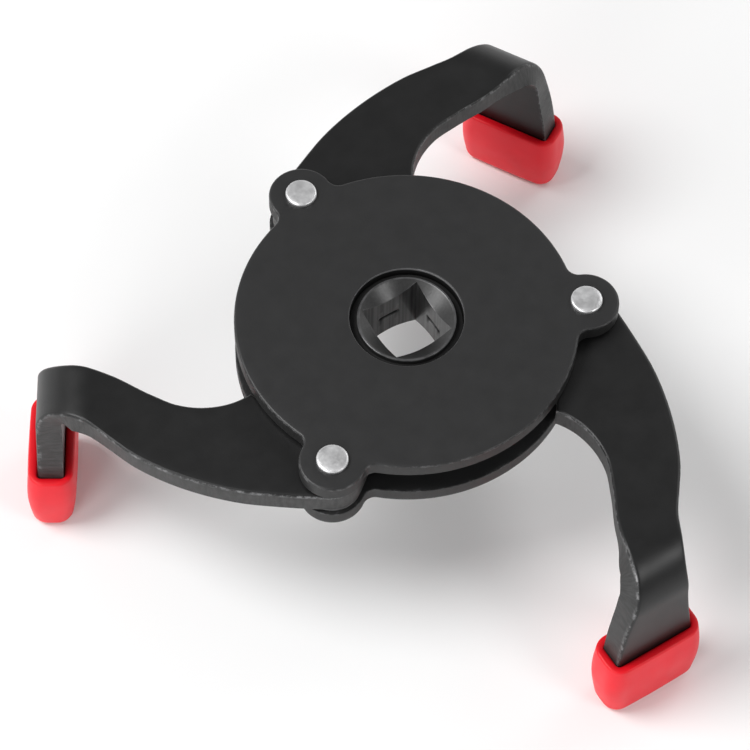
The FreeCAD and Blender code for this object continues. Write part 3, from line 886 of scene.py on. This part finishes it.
def black_steel(name, dark, light, roughness, side_level, specular, tear_depth, chipping):
    """Satin black finish: fine mottling, chipped bright at its edges, torn sheared sides, painted shade
    in holes.
    """
    material, tree = new_material(name)
    mottle = texture(tree, 210, 5.0, roughness=0.65)
    grain = texture(tree, 2400, 2.0)
    tone = colours(tree, ramp(tree, mottle, *NOISE_SPAN), grey(dark, 0.03), grey(light, 0.03))
    sheared = mark(tree, "sheared")
    bore = mark(tree, "bore")
    torn = streaks(tree, 1.4, 5.0)
    side_tone = colours(tree, ramp(tree, torn, 0.36, 0.66),
                        grey(side_level * 0.6), grey(side_level * 1.4))
    tone = colours(tree, sheared, tone, side_tone)
    chips = ramp(tree, texture(tree, 520, 6.0, roughness=0.8), 0.48, 0.62)
    worn = maths(tree, "MULTIPLY", ramp(tree, mark(tree, "worn_edge"), 0.5, 0.95), chips)
    tone = colours(tree, maths(tree, "MULTIPLY", worn, chipping), tone, grey(0.3, 0.02))
    # Painted shade: the sheared walls of holes are made near black.
    tone = colours(tree, maths(tree, "MULTIPLY", bore, sheared), tone, grey(0.003))
    polished = maths(tree, "MULTIPLY", bore, ramp(tree, mark(tree, "worn_edge"), 0.6, 0.9))
    tone = colours(tree, polished, tone, grey(0.5, 0.02))
    rough = ramp(tree, mottle, *NOISE_SPAN, roughness - 0.02, roughness + 0.03)
    rough = maths(tree, "ADD", rough, maths(tree, "MULTIPLY", sheared, 0.1))
    rough = maths(tree, "SUBTRACT", rough, maths(tree, "MULTIPLY", polished, 0.15))
    tearing = maths(tree, "MULTIPLY", torn, sheared)
    normal = bumps(tree, (grain, 0.000014), (tearing, tear_depth), (mottle, 0.000012))
    metal = maths(tree, "MULTIPLY", worn, chipping * 0.8)
    metal = maths(tree, "MAXIMUM", metal, maths(tree, "MULTIPLY", polished, 0.9))
    surface(tree, {"Base Color": tone, "Roughness": rough, "Metallic": metal, "Normal": normal,
                   "Specular IOR Level": specular})
    return material


def machined_steel(name):
    """Drive gear: black finish, a turned countersink, broach lines down the square's walls, recesses in
    painted shade.
    """
    material, tree = new_material(name)
    mottle = texture(tree, 260, 5.0, roughness=0.65)
    lines = texture(tree, 1100, 3.0, stretch=(1, 1, 0.012), roughness=0.6)
    grain = texture(tree, 2200, 3.0)
    turned = mark(tree, "turned")
    broached = mark(tree, "broached")
    recess_shade = mark(tree, "recess_shade")
    tone = colours(tree, ramp(tree, mottle, *NOISE_SPAN), grey(0.022, 0.03), grey(0.034, 0.03))
    tone = colours(tree, turned, tone, colours(tree, grain, grey(0.05), grey(0.085)))
    cut = colours(tree, ramp(tree, lines, 0.38, 0.58), grey(0.018), grey(0.065))
    tone = colours(tree, broached, tone, cut)
    # Painted shade: the groove round the neck and the detent slots are made near black.
    tone = colours(tree, recess_shade, tone, grey(0.003))
    worn = maths(tree, "MULTIPLY", mark(tree, "worn_edge"), ramp(tree, mottle, 0.4, 0.65, 0.15, 1.0))
    tone = colours(tree, maths(tree, "MULTIPLY", worn, 0.5), tone, grey(0.25, 0.02))
    rough = ramp(tree, mottle, *NOISE_SPAN, 0.3, 0.36)
    rough = maths(tree, "ADD", rough, maths(tree, "MULTIPLY", recess_shade, 0.5))
    metal = maths(tree, "MULTIPLY", worn, 0.7)
    metal = maths(tree, "MAXIMUM", maths(tree, "MULTIPLY", turned, 0.8), metal)
    metal = maths(tree, "MAXIMUM", maths(tree, "MULTIPLY", broached, 0.6), metal)
    metal = maths(tree, "MULTIPLY", metal, maths(tree, "SUBTRACT", 1.0, recess_shade))
    normal = bumps(tree, (maths(tree, "MULTIPLY", lines, broached), 0.00003), (grain, 0.000004))
    surface(tree, {"Base Color": tone, "Roughness": rough, "Metallic": metal, "Normal": normal})
    return material


def bright_steel(name, level, roughness):
    """Zinc plated steel, faintly blotched and dinted."""
    material, tree = new_material(name)
    blotch = texture(tree, 500, 4.0, roughness=0.6)
    dints = texture(tree, 1300, 3.0)
    tone = colours(tree, ramp(tree, blotch, *NOISE_SPAN), grey(level * 0.85, 0.01), grey(level, 0.01))
    rough = ramp(tree, blotch, *NOISE_SPAN, roughness - 0.08, roughness + 0.08)
    normal = bumps(tree, (dints, 0.00003), (blotch, 0.00006))
    surface(tree, {"Base Color": tone, "Roughness": rough, "Metallic": 0.85, "Normal": normal})
    return material


def red_vinyl(name):
    """Soft glossy dipped vinyl, in painted shade a deeper red over the rim and inside it."""
    material, tree = new_material(name)
    cloud = texture(tree, 90, 4.0)
    ripple = texture(tree, 200, 1.0)
    peel = texture(tree, 1500, 1.0)
    tone = colours(tree, ramp(tree, cloud, *NOISE_SPAN), VINYL_DARK, VINYL_LIGHT)
    # Painted shade: the rim mark deepens the red over the rim and in the pocket.
    tone = colours(tree, mark(tree, "rim"), tone, VINYL_RIM_SHADE)
    rough = ramp(tree, ripple, *NOISE_SPAN, 0.34, 0.46)
    normal = bumps(tree, (peel, 0.000004), (ripple, 0.00002))
    surface(tree, {"Base Color": tone, "Roughness": rough, "Normal": normal, "Specular IOR Level": 0.3,
                   "Subsurface Weight": 0.1, "Subsurface Radius": (0.002, 0.0006, 0.0004),
                   "Subsurface Scale": 1.0})
    return material


# ---- stage ----
def make_floor():
    corners = [(x * FLOOR_HALF_WIDTH, y * FLOOR_HALF_WIDTH, FLOOR_HEIGHT)
               for x, y in ((-1, -1), (1, -1), (1, 1), (-1, 1))]
    floor = make_mesh("floor", corners, [(0, 1, 2, 3)])
    material, tree = new_material("pale_floor")
    surface(tree, {"Base Color": grey(0.88), "Roughness": 0.9, "Specular IOR Level": 0.1})
    floor.data.materials.append(material)


def make_world():
    """A white studio, bright round the horizon, dimmer overhead and at the front."""
    world = bpy.data.worlds.new("studio")
    world.use_nodes = True
    tree = world.node_tree
    tree.nodes.clear()
    direction = add(tree, "ShaderNodeTexCoord").outputs["Generated"]
    parts = add(tree, "ShaderNodeSeparateXYZ", {"Vector": direction}).outputs
    overhead = ramp(tree, parts["Z"], 0.05, 0.5, to_low=1.4, to_high=0.26)
    in_front = ramp(tree, parts["Y"], -0.95, -0.5, to_low=0.35)
    strength = maths(tree, "MULTIPLY", overhead, in_front)
    background = add(tree, "ShaderNodeBackground", {"Color": (1, 1, 1, 1), "Strength": strength})
    add(tree, "ShaderNodeOutputWorld", {"Surface": background.outputs["Background"]})
    bpy.context.scene.world = world


def make_light(name, place, size, power):
    """A round light aimed at the origin, its place and size in metres and its power in watts."""
    light = bpy.data.lights.new(name, "AREA")
    light.shape = "DISK"
    light.size = size
    light.energy = power
    lamp = bpy.data.objects.new(name, light)
    lamp.location = place
    lamp.rotation_euler = (-Vector(place)).to_track_quat("-Z", "Y").to_euler()
    bpy.context.scene.collection.objects.link(lamp)


def make_camera():
    """Looks down at the wrench from the front left, with a long lens."""
    azimuth = math.radians(CAMERA_AZIMUTH)
    elevation = math.radians(CAMERA_ELEVATION)
    roll = math.radians(CAMERA_ROLL)
    forward = Vector((math.sin(azimuth) * math.cos(elevation), math.cos(azimuth) * math.cos(elevation),
                      -math.sin(elevation)))
    level = forward.cross(UP).normalized()
    right = level * math.cos(roll) + level.cross(forward) * math.sin(roll)
    up = right.cross(forward)
    camera = bpy.data.objects.new("camera", bpy.data.cameras.new("camera"))
    camera.data.lens = CAMERA_LENS
    camera.data.sensor_width = CAMERA_SENSOR
    axes = Matrix((right, up, -forward)).transposed().to_4x4()
    camera.matrix_world = Matrix.Translation(CAMERA_AIM - forward * CAMERA_DISTANCE) @ axes
    bpy.context.scene.collection.objects.link(camera)
    bpy.context.scene.camera = camera


def main():
    bpy.context.scene.view_settings.view_transform = "Standard"
    make_camera()
    make_world()
    make_light("key", (-0.5, 0.35, 0.9), size=0.6, power=9)
    make_light("fill", (-0.9, -0.35, 0.4), size=0.5, power=3.2)
    make_light("side", (0.8, 0.1, 0.6), size=0.5, power=1.5)
    make_light("front", (0.24, -0.75, 0.63), size=0.35, power=2.0)
    make_floor()
    plate_finish = black_steel("black_plate_finish", dark=0.0125, light=0.0145, roughness=0.42,
                               side_level=0.008, specular=0.5, tear_depth=0.00001, chipping=0.35)
    arm_finish = black_steel("black_arm_finish", dark=0.005, light=0.007, roughness=0.38,
                             side_level=0.03, specular=0.42, tear_depth=0.00005, chipping=0.7)
    gear_finish = machined_steel("drive_gear_finish")
    rivet_finish = bright_steel("zinc_plate", level=0.78, roughness=0.4)
    washer_finish = bright_steel("dull_steel", level=0.35, roughness=0.5)
    sleeve_finish = red_vinyl("red_vinyl")
    make_plate("upper_disc", "top_plate", TOP_PLATE_HIGH.z, 1, plate_finish)
    make_plate("lower_disc", "bottom_plate", BOTTOM_PLATE_LOW.z, -1, plate_finish)
    make_gear(gear_finish)
    upper, lower = TOP_PLATE_LOW.z - WASHER_THICK, BOTTOM_PLATE_HIGH.z
    for index in range(ARMS):
        number = "_" + str(index + 1)
        make_rivet(index, rivet_finish)
        make_washer(index, "washer_above" + number, "upper_washer" + number, upper, washer_finish)
        make_washer(index, "washer_below" + number, "lower_washer" + number, lower, washer_finish)
        make_arm(index, arm_finish)
        make_sleeve(index, sleeve_finish)


main()
